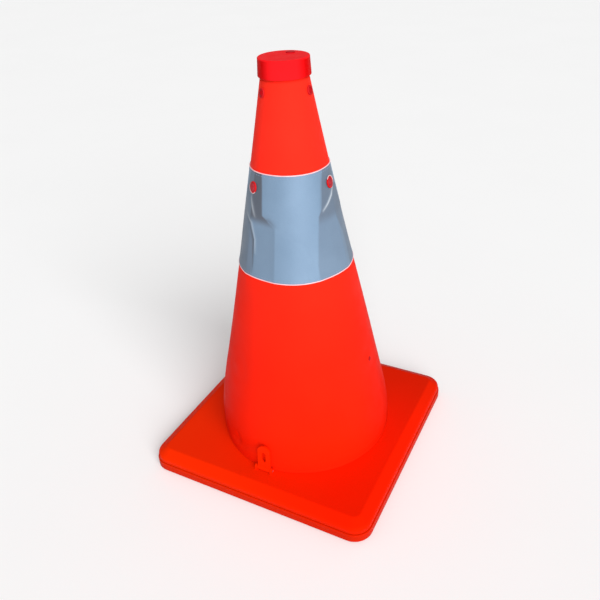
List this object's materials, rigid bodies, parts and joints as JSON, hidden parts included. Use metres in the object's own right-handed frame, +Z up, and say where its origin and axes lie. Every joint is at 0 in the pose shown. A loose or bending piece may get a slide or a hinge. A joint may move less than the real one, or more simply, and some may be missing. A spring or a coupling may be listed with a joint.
{
  "type": "traffic cone",
  "caption": "Collapsible warning cone with a square two-shell base, spring-held fabric sleeve, silver band, small signal lamps, a folding pull loop and a cap with a push switch.",
  "frame": {"origin": "centre of the base's footprint, on the ground plane that the rubber feet stand on", "axes": "+Z up along the cone's axis; -Y towards the side of the base that carries the pull loop; +X to the right seen from there"},
  "size_m": [0.28, 0.28, 0.4603],
  "materials": {
    "orange_shell": "moulded, semi-matt",
    "orange_fabric": "coated woven nylon",
    "reflective_sheet": "silver retroreflective sheeting",
    "red_cap": "gloss",
    "red_moulding": "moulded",
    "red_button": "gloss",
    "red_lens": "tinted, clear",
    "spring_wire": "zinc plated",
    "steel_fastener": "zinc plated",
    "nickel_contact": "nickel plated",
    "black_plastic": "moulded",
    "black_rubber": "matt",
    "cell_jacket": "printed sleeve, plain",
    "circuit_board": "solder mask",
    "lead_insulation": "soft",
    "webbing": "woven"
  },
  "bodies": {
    "base": {"base_cover": "orange_shell", "base_tray": "orange_shell", "rubber_feet": "black_rubber", "base_screws": "steel_fastener", "battery_box": "black_plastic", "battery_door": "orange_shell", "battery_door_screw": "steel_fastener", "battery_cells": "cell_jacket", "battery_contacts": "nickel_contact", "battery_leads": "lead_insulation", "flasher_board": "circuit_board", "board_screws": "steel_fastener", "board_components": "black_plastic", "hem_ring": "black_plastic", "hem_ring_screws": "steel_fastener", "catch_collar": "black_plastic", "catch_screws": "steel_fastener", "wire_grommets": "black_rubber", "loop_pin": "steel_fastener", "fabric_sleeve": "orange_fabric", "reflective_band": "reflective_sheet", "cone_spring": "spring_wire", "spring_loops": "webbing", "lamp_leads": "lead_insulation"},
    "cap": {"cap_shell": "red_cap", "cap_plug": "red_moulding", "switch_board": "circuit_board", "push_switch": "black_plastic"},
    "button": {"switch_button": "red_button"},
    "loop": {"pull_loop": "orange_shell"},
    "lamps_upper": {"lamp_lenses_upper": "red_lens", "lamp_bezels_upper": "red_moulding", "lamp_nuts_upper": "black_plastic"},
    "lamps_middle": {"lamp_lenses_middle": "red_lens", "lamp_bezels_middle": "red_moulding", "lamp_nuts_middle": "black_plastic"},
    "lamps_lower": {"lamp_lenses_lower": "red_lens", "lamp_bezels_lower": "red_moulding", "lamp_nuts_lower": "black_plastic"}
  },
  "joints": [
    {"name": "cone_collapse", "type": "slide", "parent": "base", "child": "cap", "axis": [0, 0, -1], "range_m": [0, 0.4], "stiffness_N_per_m": 20, "springref_m": -0.15, "deforming": ["fabric_sleeve", "reflective_band", "cone_spring", "spring_loops", "lamp_leads"]},
    {"name": "switch_press", "type": "slide", "parent": "cap", "child": "button", "axis": [0, 0, -1], "range_m": [0, 0.001], "stiffness_N_per_m": 1500, "springref_m": -0.0005},
    {"name": "loop_fold", "type": "hinge", "parent": "base", "child": "loop", "pos_m": [0.003, -0.109, 0.0286], "axis": [1, 0, 0], "range_deg": [0, 94]},
    {"name": "lamps_upper_drop", "type": "slide", "parent": "base", "child": "lamps_upper", "axis": [0, 0, -1], "range_m": [0, 0.3927]},
    {"name": "lamps_middle_drop", "type": "slide", "parent": "base", "child": "lamps_middle", "axis": [0, 0, -1], "range_m": [0, 0.3045]},
    {"name": "lamps_lower_drop", "type": "slide", "parent": "base", "child": "lamps_lower", "axis": [0, 0, -1], "range_m": [0, 0.105]}
  ],
  "couplings": [
    {"joint": "lamps_upper_drop", "follows": "cone_collapse", "ratio": 0.98175},
    {"joint": "lamps_middle_drop", "follows": "cone_collapse", "ratio": 0.76125},
    {"joint": "lamps_lower_drop", "follows": "cone_collapse", "ratio": 0.2625}
  ]
}
